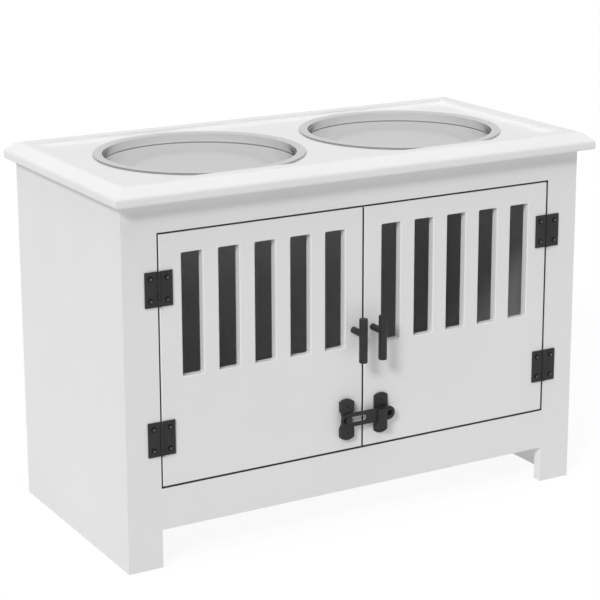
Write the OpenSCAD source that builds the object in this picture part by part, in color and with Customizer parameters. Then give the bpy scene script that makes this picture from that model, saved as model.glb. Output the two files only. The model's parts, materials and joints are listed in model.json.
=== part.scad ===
// Raised feeding station for a large dog: a white cabinet on plank legs with
// two slotted doors, a framed top that holds two steel bowls, and black hardware.
// X runs across the front, the front faces -Y, and the floor is at Z = 0.

/* [Cabinet] */
// Width over the two side panels
cab_w = 576; // [540:2:640]
// Depth from the face frame to the back of the side panels
cab_d = 276; // [260:2:320]
// Height of the cabinet under its top
cab_h = 399; // [390:1:450]
// Thickness of the side panels, the shelf and the face frame
board_t = 12; // [10:1:15]
// Height of the clear space under the front rail
leg_gap = 42.5; // [30:0.5:60]
// Height of the lower edge of the door opening
open_low = 88.4; // [80:0.2:100]
// Height of the upper edge of the door opening
open_high = 365.5; // [360:0.5:375]
// Half the width of the door opening
open_half = 248.2; // [240:0.2:252]
// Thickness of the back sheet
back_t = 4; // [3:0.5:6]
// Width of the step that the back sheet sits in
rabbet_w = 6; // [5:0.5:8]
// Side of the square cleats under the top and under the shelf
cleat_s = 20; // [16:1:24]

/* [Top] */
// Overhang of the top at each side
over_side = 12; // [8:1:20]
// Overhang of the top at the front
over_front = 18; // [10:1:22]
// Overhang of the top at the back
over_back = 6; // [0:1:10]
// Height of the upright edge of the moulding
edge_h = 9.5; // [8:0.5:12]
// Full height of the moulding
moulding_h = 19.5; // [18:0.5:22]
// Slope of the bevel over the upright edge
bevel_angle = 40; // [35:1:50]
// Radius that blends the bevel into the flat border
bevel_r = 8; // [4:1:12]
// Distance from the outer edge to the inner lip of the border
border_w = 28; // [26:1:30]
// Width of the cove between the lip and the sunken field
cove_w = 8; // [6:1:10]
// Depth of the sunken field below the border
field_drop = 5; // [4:0.5:7]

/* [Bowls] */
// Diameter over the bowl's rim
rim_d = 234; // [225:1:236]
// Distance from the middle of the cabinet to each bowl's axis
bowl_x = 130.3; // [125:0.1:135]
// Inside diameter of the upright collar below the rim
collar_d = 213; // [205:1:214]
// Depth of the upright collar
collar_h = 12.5; // [8:0.5:14]
// Depth of the bowl from its rim
bowl_depth = 62; // [50:1:66]
// Inside diameter of the flat bottom
bowl_floor_d = 140; // [120:2:150]
// Thickness of the steel sheet
steel_t = 0.9; // [0.7:0.1:1.2]
// Height of the rim's top above the sunken field
rim_lift = 2.4; // [2:0.1:3]

/* [Doors] */
// Thickness of a door
door_t = 10; // [9:0.5:11]
// Gap around and between the doors
door_gap = 2; // [1.5:0.1:3]
// Number of slots in a door
slot_n = 5; // [3:1:5]
// Width of a slot
slot_w = 24.5; // [18:0.5:26]
// Height of a slot
slot_h = 133; // [100:1:140]
// Distance from one slot to the next
slot_pitch = 43.1; // [40:0.1:44]
// Distance from the door's top edge to the slots
slot_top = 22.3; // [18:0.1:30]
// Shift of the slots towards the middle of the cabinet
slot_shift = 1.7; // [0:0.1:3]

/* [Hinges] */
// Width of one leaf from the pin's axis
leaf_w = 15.8; // [14:0.1:18]
// Height of a hinge
leaf_h = 37.7; // [34:0.1:42]
// Thickness of a leaf
leaf_t = 1.5; // [1.2:0.1:1.6]
// Diameter of the knuckles
knuckle_d = 3.4; // [3.2:0.1:3.6]
// Diameter of the hinge pin
pin_d = 1.6; // [1.4:0.1:1.8]
// Height of the middle of the upper hinges
hinge_high = 306.5; // [290:0.5:320]
// Height of the middle of the lower hinges
hinge_low = 144.5; // [130:0.5:160]
// Distance of the screws from the pin's axis
leaf_screw_x = 9.6; // [9:0.1:10]
// Distance of the screws above and below the hinge's middle
leaf_screw_z = 11.8; // [10:0.1:13]

/* [Pulls] */
// Diameter of the bar
bar_d = 9.5; // [8:0.1:11]
// Length of the bar
bar_l = 50; // [44:1:60]
// Height of the middle of the bar
bar_z = 220; // [215:1:225]
// Distance from the door's face to the bar's axis
bar_reach = 20.6; // [18:0.1:24]
// Diameter of the post
post_d = 7.6; // [6:0.1:8]
// Height of the post above the middle of the bar
post_rise = 7; // [0:0.5:10]
// Distance of the pulls from the middle of the cabinet
pull_x = 12.4; // [11:0.1:14]

/* [Latch] */
// Height of the latch
latch_z = 126.5; // [110:0.5:140]
// Distance of both plates from the middle of the cabinet
plate_x = 22.5; // [21:0.1:24]
// Width of a plate
plate_w = 17.1; // [16:0.1:18]
// Height of a plate
plate_h = 46.7; // [44:0.1:50]
// Radius of a plate's ends
plate_r = 13.5; // [9:0.5:14]
// Depth of the hollow in each side of the base
waist = 3.3; // [2:0.1:4]
// Radius of that hollow
waist_r = 16.8; // [12:0.1:20]
// Thickness of the base that carries the arm
base_t = 5.5; // [4.5:0.1:6]
// Thickness of the keeper's plate
keeper_t = 2.5; // [2:0.1:3]
// Thickness of the arm
arm_t = 2.2; // [2:0.1:2.5]
// Height of the arm
arm_h = 15.8; // [14:0.1:16]
// Left end of the arm
arm_left = -31.8; // [-33:0.1:-31]
// Right end of the arm
arm_right = 37.3; // [36:0.1:40]
// Left end of the arm's slot
slide_left = -29.1; // [-29.5:0.1:-28.5]
// Right end of the arm's slot
slide_right = 1.1; // [0:0.1:3]
// Height of the arm's slot
slide_h = 6.9; // [6.7:0.1:7.2]
// Diameter of the finger recess in the arm's free end
dimple_d = 6.4; // [5:0.1:6.6]
// Distance of that recess from the middle of the cabinet
dimple_x = 31; // [30.5:0.1:31.5]
// Width of the keeper's hook
hook_w = 11.3; // [10:0.1:12]
// Distance of the hook from the middle of the cabinet
hook_x = 19.6; // [19:0.1:21]
// Thickness of the hook
hook_t = 2.2; // [2:0.1:2.5]
// Outer radius of the hook's arched front
hook_r = 14; // [12:0.5:16]
// Diameter of the rivet
rivet_d = 6.4; // [6:0.1:6.4]

/* [Hidden] */
$fn = 48;

LEFT = -1;
RIGHT = 1;
// Gap between parts that move past each other
clear = 0.3;
// How far a cutter reaches past the face it opens
past = 1;

// Plan of the whole object: the pulls reach furthest forward, the top furthest back
front_reach = bar_reach + bar_d / 2;
top_back = cab_d + over_back;
front_y = (front_reach - top_back) / 2;
side_x = cab_w / 2;
inner_x = side_x - board_t;
back_y = cab_d - back_t;

// Top
top_w = cab_w + 2 * over_side;
top_d = over_front + top_back;
top_mid_y = (top_back - over_front) / 2;
rim_w = border_w + cove_w;
field_z = cab_h + moulding_h - field_drop;
cutout_play = 3;
cutout_d = collar_d + 2 * steel_t + cutout_play;
rim_z = field_z + rim_lift;
lip_gap = 0.8;
lip_z = field_z + lip_gap;

// Profile of a bowl
brim_r = 1.3;
lip_r = 1.1;
crease_w = 1.6;
crease_h = 1.4;
crease_out = 0.6;
dish_n = 14;

// Doors
door_low = open_low + door_gap;
door_high = open_high - door_gap;
door_outer = open_half - door_gap;
door_inner = door_gap / 2;
door_w = door_outer - door_inner;
door_mid = (door_outer + door_inner) / 2;

// Hinges
axis_x = open_half - door_gap / 2;
knuckle_n = 5;
knuckle_h = leaf_h / knuckle_n;
pin_fit = 0.03;
leaf_screw_d = 3;
leaf_screw_l = 8;
leaf_screw_head = 5.8;
leaf_screw_head_h = 1.7;

// Fasteners
cleat_screw_d = 3.5;
cleat_screw_l = 29;
cleat_screw_head = 7.5;
cleat_screw_head_h = 2.2;
cleat_screw_in = 6;
cleat_screw_y = [60, cab_d - 60];
back_screw_d = 2.4;
back_screw_l = 14;
back_screw_head = 6;
back_screw_head_h = 1.6;
back_screw_z = [110, 200, 290, 380];
back_screw_x = [-150, 0, 150];
pull_screw_d = 4;
pull_screw_grip = 8;
pull_screw_head = 8;
pull_screw_head_h = 2;

// Shelf, back and cleats
shelf_low = open_low - board_t;
back_hem = 6;
back_low = shelf_low - back_hem;
cleat_inset = 8;

// Door stop behind the top rail
stop_w = 120;
stop_t = 14;
stop_low = 346;
stop_high = 386;
bumper_x = 40;
bumper_z = 356;
bumper_d = 9;
bumper_tip_d = 7;

// Latch, measured forward from the doors' face
arm_back = base_t + clear;
arm_front = arm_back + arm_t;
rivet_head_d = 8.8;
rivet_head_h = 2.3;
rivet_fit = 0.05;
tail_d = 9.2;
tail_t = 1.3;
latch_screw_z = 15.5;
latch_screw_d = 3;
latch_screw_head = 6.4;
latch_screw_l = 12;
hook_low = -arm_h / 2 - clear;
hook_short = 0.6;
hook_high = arm_h / 2 - hook_short;
hook_foot = -17.5;
hook_tip_r = 9;
sink = 0.5;
dimple_wall = 2.8;
dimple_back = 0.8;
boss_t = arm_back - keeper_t - sink;

function arc(cx, cy, rx, ry, from, to, n) =
    [for (i = [0:n]) let (a = from + (to - from) * i / n) [cx + rx * cos(a), cy + ry * sin(a)]];

// Everything is drawn with the doors' face at Y = 0 and then moved to its place.
module placed() {
    translate([0, front_y, 0]) children();
}

// A board from its lowest and highest corner.
module board(from, to) {
    translate(from) cube(to - from);
}

// A screw along Z with its head's underside at Z = 0 and its shank below.
module round_screw(head_d, head_h, shank_d, shank_l) {
    rotate_extrude()
        polygon(concat([[0, 0]], arc(0, 0, head_d / 2, head_h, 0, 90, 8)));
    translate([0, 0, -shank_l]) cylinder(d = shank_d, h = shank_l);
}

// A screw along Z whose flat head ends at Z = 0.
module flat_screw(head_d, shank_d, shank_l) {
    cone_h = (head_d - shank_d) / 2;
    translate([0, 0, -cone_h]) cylinder(d1 = shank_d, d2 = head_d, h = cone_h);
    translate([0, 0, -shank_l]) cylinder(d = shank_d, h = shank_l - cone_h);
}

module face_front() {
    rotate([90, 0, 0]) children();
}

module face_back() {
    rotate([-90, 0, 0]) children();
}

// Cabinet

module side_panel(side) {
    color("white") placed() difference() {
        board(
            [side > 0 ? inner_x : -side_x, board_t, 0],
            [side > 0 ? side_x : -inner_x, cab_d, cab_h]
        );
        board(
            [side > 0 ? inner_x - past : -inner_x - rabbet_w, back_y, back_low],
            [side > 0 ? inner_x + rabbet_w : past - inner_x, cab_d + past, cab_h + past]
        );
        back_side_screws(side);
    }
}

module side_panel_left() {
    side_panel(LEFT);
}

module side_panel_right() {
    side_panel(RIGHT);
}

module back_panel() {
    color("white") placed() difference() {
        board([-inner_x - rabbet_w, back_y, back_low], [inner_x + rabbet_w, cab_d, cab_h]);
        back_side_screws(LEFT);
        back_side_screws(RIGHT);
        back_shelf_screws();
    }
}

module shelf_panel() {
    color("white") placed() difference() {
        board([-inner_x, board_t, shelf_low], [inner_x, back_y, open_low]);
        back_shelf_screws();
        for (side = [LEFT, RIGHT]) cleat_screw_pair(side, shelf_low - cleat_s);
    }
}

module stile(side) {
    color("white") placed() difference() {
        board(
            [side > 0 ? open_half : -side_x, 0, 0],
            [side > 0 ? side_x : -open_half, board_t, cab_h]
        );
        for (z = [hinge_low, hinge_high]) leaf_screws(side, z, 1);
    }
}

module stile_left() {
    stile(LEFT);
}

module stile_right() {
    stile(RIGHT);
}

module top_rail() {
    color("white") placed()
        board([-open_half, 0, open_high], [open_half, board_t, cab_h]);
}

module bottom_rail() {
    color("white") placed()
        board([-open_half, 0, leg_gap], [open_half, board_t, open_low]);
}

module cleat(side, top) {
    color("white") placed() difference() {
        board(
            [side > 0 ? inner_x - cleat_s : -inner_x, board_t + cleat_inset, top - cleat_s],
            [side > 0 ? inner_x : -inner_x + cleat_s, back_y - cleat_inset, top]
        );
        cleat_screw_pair(side, top - cleat_s);
    }
}

module top_cleat_left() {
    cleat(LEFT, cab_h);
}

module top_cleat_right() {
    cleat(RIGHT, cab_h);
}

module shelf_cleat_left() {
    cleat(LEFT, shelf_low);
}

module shelf_cleat_right() {
    cleat(RIGHT, shelf_low);
}

// Two upright screws through a cleat whose underside is at height low.
module cleat_screw_pair(side, low) {
    for (y = cleat_screw_y)
        translate([side * (inner_x - cleat_screw_in), y, low])
            rotate([180, 0, 0])
                round_screw(cleat_screw_head, cleat_screw_head_h, cleat_screw_d, cleat_screw_l);
}

module cleat_screws() {
    color("silver") placed()
        for (side = [LEFT, RIGHT], low = [shelf_low - cleat_s, cab_h - cleat_s])
            cleat_screw_pair(side, low);
}

module back_screw() {
    round_screw(back_screw_head, back_screw_head_h, back_screw_d, back_screw_l);
}

module back_side_screws(side) {
    for (z = back_screw_z)
        translate([side * (inner_x + rabbet_w / 2), cab_d, z])
            face_back() back_screw();
}

module back_shelf_screws() {
    for (x = back_screw_x)
        translate([x, cab_d, open_low - board_t / 2])
            face_back() back_screw();
}

module back_screws() {
    color("silver") placed() {
        back_side_screws(LEFT);
        back_side_screws(RIGHT);
        back_shelf_screws();
    }
}

module door_stop() {
    color("white") placed()
        board([-stop_w / 2, board_t, stop_low], [stop_w / 2, board_t + stop_t, stop_high]);
}

module stop_bumpers() {
    color("gainsboro") placed()
        for (side = [LEFT, RIGHT])
            translate([side * bumper_x, board_t, bumper_z])
                face_front()
                    cylinder(d1 = bumper_d, d2 = bumper_tip_d, h = board_t - door_t - clear);
}

// Top

// Section of the moulding, from its outer edge inwards and from its underside up.
module moulding_section() {
    blend_u = bevel_r * sin(bevel_angle);
    blend_v = bevel_r * (1 - cos(bevel_angle));
    slope_u = (moulding_h - edge_h - blend_v) / tan(bevel_angle);
    polygon(concat(
        [[0, 0], [0, edge_h]],
        arc(slope_u + blend_u, moulding_h - bevel_r, bevel_r, bevel_r, 90 + bevel_angle, 90, 5),
        arc(rim_w, moulding_h, cove_w, field_drop, 180, 270, 7),
        [[rim_w, 0]]
    ));
}

// One length of moulding along X with mitred ends, its outer edge on Y = 0.
module moulding(length) {
    half = length / 2;
    intersection() {
        translate([-half, 0, 0]) rotate([90, 0, 90])
            linear_extrude(length) moulding_section();
        translate([0, 0, -past]) linear_extrude(moulding_h + 2 * past)
            polygon([[-half, 0], [half, 0], [half - rim_w, rim_w], [rim_w - half, rim_w]]);
    }
}

module moulding_front() {
    color("white") placed()
        translate([0, -over_front, cab_h]) moulding(top_w);
}

module moulding_back() {
    color("white") placed()
        translate([0, top_back, cab_h]) rotate([0, 0, 180]) moulding(top_w);
}

module moulding_left() {
    color("white") placed() difference() {
        translate([-top_w / 2, top_mid_y, cab_h]) rotate([0, 0, -90]) moulding(top_d);
        cleat_screw_pair(LEFT, cab_h - cleat_s);
    }
}

module moulding_right() {
    color("white") placed() difference() {
        translate([top_w / 2, top_mid_y, cab_h]) rotate([0, 0, 90]) moulding(top_d);
        cleat_screw_pair(RIGHT, cab_h - cleat_s);
    }
}

module top_field() {
    color("white") placed() difference() {
        board(
            [rim_w - top_w / 2, rim_w - over_front, cab_h],
            [top_w / 2 - rim_w, top_back - rim_w, field_z]
        );
        for (side = [LEFT, RIGHT])
            translate([side * bowl_x, top_mid_y, cab_h - past])
                cylinder(d = cutout_d, h = moulding_h, $fn = 128);
    }
}

// Bowls

// Inside profile of a bowl below its collar: an ellipse quarter down to the floor.
function dish(extra) = arc(
    bowl_floor_d / 2, rim_z - collar_h,
    collar_d / 2 - crease_w - bowl_floor_d / 2 + extra, bowl_depth - collar_h - steel_t + extra,
    0, -90, dish_n
);

module bowl(side) {
    collar_r = collar_d / 2;
    rim_r = rim_d / 2;
    floor_z = rim_z - bowl_depth;
    color("lightgray") placed()
        translate([side * bowl_x, top_mid_y, 0])
            rotate_extrude($fn = 128)
                polygon(concat(
                    [[0, floor_z], [0, floor_z + steel_t]],
                    [for (i = [dish_n:-1:0]) dish(0)[i]],
                    [[collar_r, rim_z - collar_h + crease_h]],
                    arc(collar_r + brim_r, rim_z - brim_r, brim_r, brim_r, 180, 90, 3),
                    arc(rim_r - lip_r, rim_z - lip_r, lip_r, lip_r, 90, 0, 5),
                    [
                        [rim_r, lip_z],
                        [rim_r - steel_t, lip_z],
                        [rim_r - steel_t, rim_z - steel_t],
                        [collar_r + steel_t, rim_z - steel_t],
                        [collar_r + steel_t, rim_z - collar_h + crease_out]
                    ],
                    dish(steel_t)
                ));
}

module bowl_left() {
    bowl(LEFT);
}

module bowl_right() {
    bowl(RIGHT);
}

// Hinges

// Screws of one leaf. outward is 1 for the frame's leaf and -1 for the door's.
module leaf_screws(side, z, outward) {
    for (rise = [-leaf_screw_z, leaf_screw_z])
        translate([side * (axis_x + outward * leaf_screw_x), -leaf_t, z + rise])
            face_front()
                round_screw(leaf_screw_head, leaf_screw_head_h, leaf_screw_d, leaf_screw_l);
}

// One leaf with its plate on the +X side of the pin, which stands on the origin.
module leaf_shape(knuckles, bore) {
    r = knuckle_d / 2;
    merge = 0.1;
    difference() {
        union() {
            translate([r + clear, r - leaf_t, -leaf_h / 2])
                cube([leaf_w - r - clear, leaf_t, leaf_h]);
            for (i = knuckles)
                translate([0, 0, -leaf_h / 2 + i * knuckle_h + clear / 2]) {
                    cylinder(d = knuckle_d, h = knuckle_h - clear);
                    translate([0, r - leaf_t, 0])
                        cube([r + clear + merge, leaf_t, knuckle_h - clear]);
                }
        }
        translate([0, 0, -leaf_h]) cylinder(d = bore, h = 2 * leaf_h);
        for (z = [-leaf_screw_z, leaf_screw_z])
            translate([leaf_screw_x, 0, z]) face_front()
                cylinder(d = leaf_screw_d, h = 3 * leaf_t, center = true);
    }
}

module frame_leaf(side, z) {
    color("dimgray") placed()
        translate([side * axis_x, -knuckle_d / 2, z])
            mirror([side < 0 ? 1 : 0, 0, 0]) leaf_shape([0, 2, 4], pin_d);
}

module door_leaf(side, z) {
    color("dimgray") placed()
        translate([side * axis_x, -knuckle_d / 2, z])
            mirror([side > 0 ? 1 : 0, 0, 0]) leaf_shape([1, 3], pin_d + 2 * pin_fit);
}

module frame_leaf_upper_left() {
    frame_leaf(LEFT, hinge_high);
}

module frame_leaf_lower_left() {
    frame_leaf(LEFT, hinge_low);
}

module frame_leaf_upper_right() {
    frame_leaf(RIGHT, hinge_high);
}

module frame_leaf_lower_right() {
    frame_leaf(RIGHT, hinge_low);
}

module door_leaf_upper_left() {
    door_leaf(LEFT, hinge_high);
}

module door_leaf_lower_left() {
    door_leaf(LEFT, hinge_low);
}

module door_leaf_upper_right() {
    door_leaf(RIGHT, hinge_high);
}

module door_leaf_lower_right() {
    door_leaf(RIGHT, hinge_low);
}

module hinge_pins() {
    color("dimgray") placed()
        for (side = [LEFT, RIGHT], z = [hinge_low, hinge_high])
            translate([side * axis_x, -knuckle_d / 2, z - leaf_h / 2 + clear / 2])
                cylinder(d = pin_d, h = leaf_h - clear);
}

module frame_leaf_screws() {
    color("dimgray") placed()
        for (side = [LEFT, RIGHT], z = [hinge_low, hinge_high])
            leaf_screws(side, z, 1);
}

// Doors

module door_outline(side) {
    centre = side * (door_mid - slot_shift);
    difference() {
        translate([side > 0 ? door_inner : -door_outer, door_low])
            square([door_w, door_high - door_low]);
        for (i = [0:slot_n - 1])
            translate([
                centre + (i - (slot_n - 1) / 2) * slot_pitch - slot_w / 2,
                door_high - slot_top - slot_h
            ])
                square([slot_w, slot_h]);
    }
}

module door(side) {
    color("white") placed() difference() {
        translate([0, door_t, 0]) face_front()
            linear_extrude(door_t) door_outline(side);
        door_leaf_screw_set(side);
        pull_screw(side);
        plate_screws(side);
    }
}

module door_left() {
    door(LEFT);
}

module door_right() {
    door(RIGHT);
}

module door_leaf_screw_set(side) {
    for (z = [hinge_low, hinge_high]) leaf_screws(side, z, -1);
}

module door_leaf_screws_left() {
    color("dimgray") placed() door_leaf_screw_set(LEFT);
}

module door_leaf_screws_right() {
    color("dimgray") placed() door_leaf_screw_set(RIGHT);
}

// Pulls

module pull_bar(side) {
    edge = 0.6;
    color("dimgray") placed()
        translate([side * pull_x, -bar_reach, bar_z - bar_l / 2]) {
            cylinder(d1 = bar_d - 2 * edge, d2 = bar_d, h = edge);
            translate([0, 0, edge]) cylinder(d = bar_d, h = bar_l - 2 * edge);
            translate([0, 0, bar_l - edge]) cylinder(d1 = bar_d, d2 = bar_d - 2 * edge, h = edge);
        }
}

module pull_post(side) {
    color("dimgray") placed() difference() {
        translate([side * pull_x, 0, bar_z + post_rise])
            face_front() cylinder(d = post_d, h = bar_reach);
        translate([side * pull_x, -bar_reach, bar_z - bar_l / 2])
            cylinder(d = bar_d, h = bar_l);
        pull_screw(side);
    }
}

// The screw comes from inside the door and ends in the post.
module pull_screw(side) {
    translate([side * pull_x, door_t, bar_z + post_rise])
        face_back()
            round_screw(pull_screw_head, pull_screw_head_h, pull_screw_d, door_t + pull_screw_grip);
}

module pull_bar_left() {
    pull_bar(LEFT);
}

module pull_bar_right() {
    pull_bar(RIGHT);
}

module pull_post_left() {
    pull_post(LEFT);
}

module pull_post_right() {
    pull_post(RIGHT);
}

module pull_screw_left() {
    color("silver") placed() pull_screw(LEFT);
}

module pull_screw_right() {
    color("silver") placed() pull_screw(RIGHT);
}

// Latch

// Front view of a plate: straight sides and ends that are arcs of radius plate_r.
module plate_outline() {
    reach = plate_h / 2 - plate_r;
    intersection() {
        square([plate_w, plate_h], center = true);
        union() {
            square([plate_w, 2 * reach], center = true);
            for (z = [-reach, reach]) translate([0, z]) circle(plate_r);
        }
    }
}

// The plate with a hollow scooped from each side at mid-height.
module waisted_outline() {
    difference() {
        plate_outline();
        for (side = [LEFT, RIGHT])
            translate([side * (plate_w / 2 + waist_r - waist), 0]) circle(waist_r);
    }
}

module plate_screws(side) {
    thickness = side < 0 ? base_t : keeper_t;
    for (rise = [-latch_screw_z, latch_screw_z])
        translate([side * plate_x, -thickness, latch_z + rise])
            face_front() flat_screw(latch_screw_head, latch_screw_d, latch_screw_l);
}

module latch_base() {
    color("dimgray") placed() difference() {
        translate([-plate_x, 0, latch_z])
            face_front() linear_extrude(base_t) waisted_outline();
        plate_screws(LEFT);
        translate([-plate_x, past, latch_z]) face_front() {
            cylinder(d = rivet_d + 2 * rivet_fit, h = base_t + 2 * past);
            cylinder(d = tail_d + 2 * clear, h = past + tail_t + 2 * clear);
        }
    }
}

module latch_rivet() {
    color("dimgray") placed()
        translate([-plate_x, 0, latch_z]) face_front() {
            translate([0, 0, clear]) cylinder(d = tail_d, h = tail_t);
            translate([0, 0, clear]) cylinder(d = rivet_d, h = arm_front);
            translate([0, 0, arm_front + clear])
                round_screw(rivet_head_d, rivet_head_h, rivet_d, past);
        }
}

module arm_outline() {
    r = arm_h / 2;
    difference() {
        union() {
            translate([arm_left + r, -r]) square([arm_right - arm_left - arm_h, arm_h]);
            for (x = [arm_left + r, arm_right - r]) translate([x, 0]) circle(r, $fn = 64);
        }
        translate([slide_left + slide_h / 2, -slide_h / 2])
            square([slide_right - slide_left - slide_h, slide_h]);
        for (x = [slide_left + slide_h / 2, slide_right - slide_h / 2])
            translate([x, 0]) circle(d = slide_h);
    }
}

// The arm, with a boss behind its free end that gives the finger recess its depth.
module latch_arm() {
    color("dimgray") placed()
        translate([0, -arm_back, latch_z]) face_front() difference() {
            union() {
                linear_extrude(arm_t) arm_outline();
                translate([dimple_x, 0, -boss_t])
                    cylinder(d = dimple_d + 2 * dimple_wall, h = boss_t + arm_t / 2);
            }
            translate([dimple_x, 0, dimple_back - boss_t])
                cylinder(d = dimple_d, h = boss_t + arm_t);
        }
}

// Front view of the hook: straight sides under a rounded tip.
module hook_front() {
    intersection() {
        translate([-hook_w / 2, hook_foot]) square([hook_w, hook_high - hook_foot]);
        union() {
            translate([0, hook_high - hook_tip_r]) circle(hook_tip_r, $fn = 64);
            translate([-hook_w, hook_foot])
                square([2 * hook_w, hook_high - hook_tip_r - hook_foot]);
        }
    }
}

// Side view of what is cut away under the hook, as Y and Z.
module hook_below() {
    polygon([
        [-keeper_t, hook_foot],
        [-2 * hook_r, hook_low - hook_t],
        [-2 * hook_r, hook_foot - past],
        [-keeper_t, hook_foot - past]
    ]);
}

// A shelf under the arm, an arched tongue that rises in front of it, and a gusset below.
module hook() {
    inner_r = hook_r - hook_t;
    edge_sag = inner_r - sqrt(inner_r * inner_r - hook_w * hook_w / 4);
    axis_y = inner_r - edge_sag - arm_front - clear;
    intersection() {
        translate([0, sink - keeper_t, 0]) face_front() linear_extrude(2 * hook_r) hook_front();
        difference() {
            translate([0, axis_y, hook_foot])
                cylinder(r = hook_r, h = hook_high - hook_foot, $fn = 96);
            translate([0, axis_y, hook_low])
                cylinder(r = inner_r, h = hook_high - hook_low + past, $fn = 96);
            translate([-hook_w, 0, 0]) rotate([90, 0, 90])
                linear_extrude(2 * hook_w) hook_below();
        }
    }
}

module latch_keeper() {
    color("dimgray") placed() difference() {
        translate([0, 0, latch_z]) {
            translate([plate_x, 0, 0]) face_front() linear_extrude(keeper_t) plate_outline();
            translate([hook_x, 0, 0]) hook();
        }
        plate_screws(RIGHT);
    }
}

module latch_base_screws() {
    color("dimgray") placed() plate_screws(LEFT);
}

module latch_keeper_screws() {
    color("dimgray") placed() plate_screws(RIGHT);
}

side_panel_left();
side_panel_right();
back_panel();
shelf_panel();
stile_left();
stile_right();
top_rail();
bottom_rail();
top_cleat_left();
top_cleat_right();
shelf_cleat_left();
shelf_cleat_right();
cleat_screws();
back_screws();
door_stop();
stop_bumpers();
top_field();
moulding_front();
moulding_back();
moulding_left();
moulding_right();
frame_leaf_upper_left();
frame_leaf_lower_left();
frame_leaf_upper_right();
frame_leaf_lower_right();
hinge_pins();
frame_leaf_screws();
door_left();
door_leaf_upper_left();
door_leaf_lower_left();
door_leaf_screws_left();
pull_bar_left();
pull_post_left();
pull_screw_left();
latch_base();
latch_base_screws();
latch_rivet();
latch_arm();
door_right();
door_leaf_upper_right();
door_leaf_lower_right();
door_leaf_screws_right();
pull_bar_right();
pull_post_right();
pull_screw_right();
latch_keeper();
latch_keeper_screws();
bowl_left();
bowl_right();
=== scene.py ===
"""Raised dog feeder with storage: finishes, fine pieces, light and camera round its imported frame."""

import json
import logging
import math
from dataclasses import dataclass
from enum import Enum, StrEnum
from typing import Any

import bmesh
import bpy
from mathutils import Matrix, Vector

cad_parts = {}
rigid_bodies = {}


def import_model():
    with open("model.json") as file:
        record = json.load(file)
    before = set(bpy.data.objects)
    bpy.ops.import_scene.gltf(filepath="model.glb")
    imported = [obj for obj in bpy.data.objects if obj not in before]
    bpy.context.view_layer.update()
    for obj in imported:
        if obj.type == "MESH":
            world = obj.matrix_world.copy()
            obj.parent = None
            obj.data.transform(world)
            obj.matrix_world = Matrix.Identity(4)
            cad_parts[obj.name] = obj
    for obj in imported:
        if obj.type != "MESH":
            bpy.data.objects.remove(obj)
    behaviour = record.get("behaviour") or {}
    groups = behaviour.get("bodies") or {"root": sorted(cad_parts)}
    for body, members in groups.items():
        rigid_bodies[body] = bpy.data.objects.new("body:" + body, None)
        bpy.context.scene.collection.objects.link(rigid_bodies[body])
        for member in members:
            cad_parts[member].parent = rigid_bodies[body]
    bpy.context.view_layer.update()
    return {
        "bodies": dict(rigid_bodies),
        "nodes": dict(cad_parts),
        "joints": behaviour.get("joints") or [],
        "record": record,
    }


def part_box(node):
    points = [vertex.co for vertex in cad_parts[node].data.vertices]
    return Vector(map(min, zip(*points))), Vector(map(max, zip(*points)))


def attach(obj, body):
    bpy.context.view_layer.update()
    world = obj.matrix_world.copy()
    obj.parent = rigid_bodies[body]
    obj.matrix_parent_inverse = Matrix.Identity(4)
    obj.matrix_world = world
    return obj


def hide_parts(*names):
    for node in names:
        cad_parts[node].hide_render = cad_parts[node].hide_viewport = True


LOG = logging.getLogger("dog_feeder")
MM = 0.001
EDGE_ANGLE = 35.0  # degrees between two faces that meet in a sharp edge
EDGE_SHARE = 0.4  # most of a face's width that a rounding takes
LONGWAYS = 0.999  # cosine above which an edge runs along a board
FLAT_ANGLE = 0.4  # degrees below which neighbouring faces are one
TURNED_ANGLE = 50.0  # degrees above which a turned piece's edge stays sharp
HEAD_ANGLE = 32.0  # the same for a screw
WELD = 0.001 * MM  # distance below which two corners are one
FIRST_SEED = 7

Material, Mesh, Socket = bpy.types.Material, bpy.types.Mesh, bpy.types.NodeSocket
Color = tuple[float, float, float, float]
Point = tuple[float, float, float]
Pair = tuple[float, float]
WHITE: Color = (1.0, 1.0, 1.0, 1.0)


class Side(StrEnum):
    """The two halves of the stand, as seen from its front."""

    LEFT = "left"
    RIGHT = "right"


class Facing(Enum):
    """Direction in which a screw's head looks."""

    FRONT = (0.0, -1.0, 0.0)
    BACK = (0.0, 1.0, 0.0)
    DOWN = (0.0, 0.0, -1.0)


@dataclass(frozen=True)
class Box:
    """A box in the frame's space, by its lowest and highest corner."""

    low: Vector
    high: Vector

    def grown(self, by: float) -> "Box":
        """Gives the box with every face moved out by a distance."""
        step = Vector((by, by, by))
        return Box(self.low - step, self.high + step)


@dataclass(frozen=True)
class Band:
    """A ring round a bowl's axis, by its radius and its height under the rim's top."""

    radius: Pair
    height: Pair


@dataclass(frozen=True)
class Skin:
    """A finish's fine bump: width and depth of a grain, share that shows, octaves of its noise."""

    size: float
    depth: float
    share: float
    octaves: float = 3.0


def toned(color: Color, share: float) -> Color:
    """Gives a colour at a share of its brightness."""
    return tuple(c * share for c in color[:3]) + (1.0,)


def grey(tone: float) -> Color:
    """Gives an even grey."""
    return (tone, tone, tone, 1.0)


def placed(name: str, data: bpy.types.ID) -> bpy.types.Object:
    """Puts a new object in the scene.

    Args:
        name: name of the object.
        data: its mesh, lamp or camera.

    Returns:
        The object.
    """
    thing = bpy.data.objects.new(name, data)
    bpy.context.scene.collection.objects.link(thing)
    return thing


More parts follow.
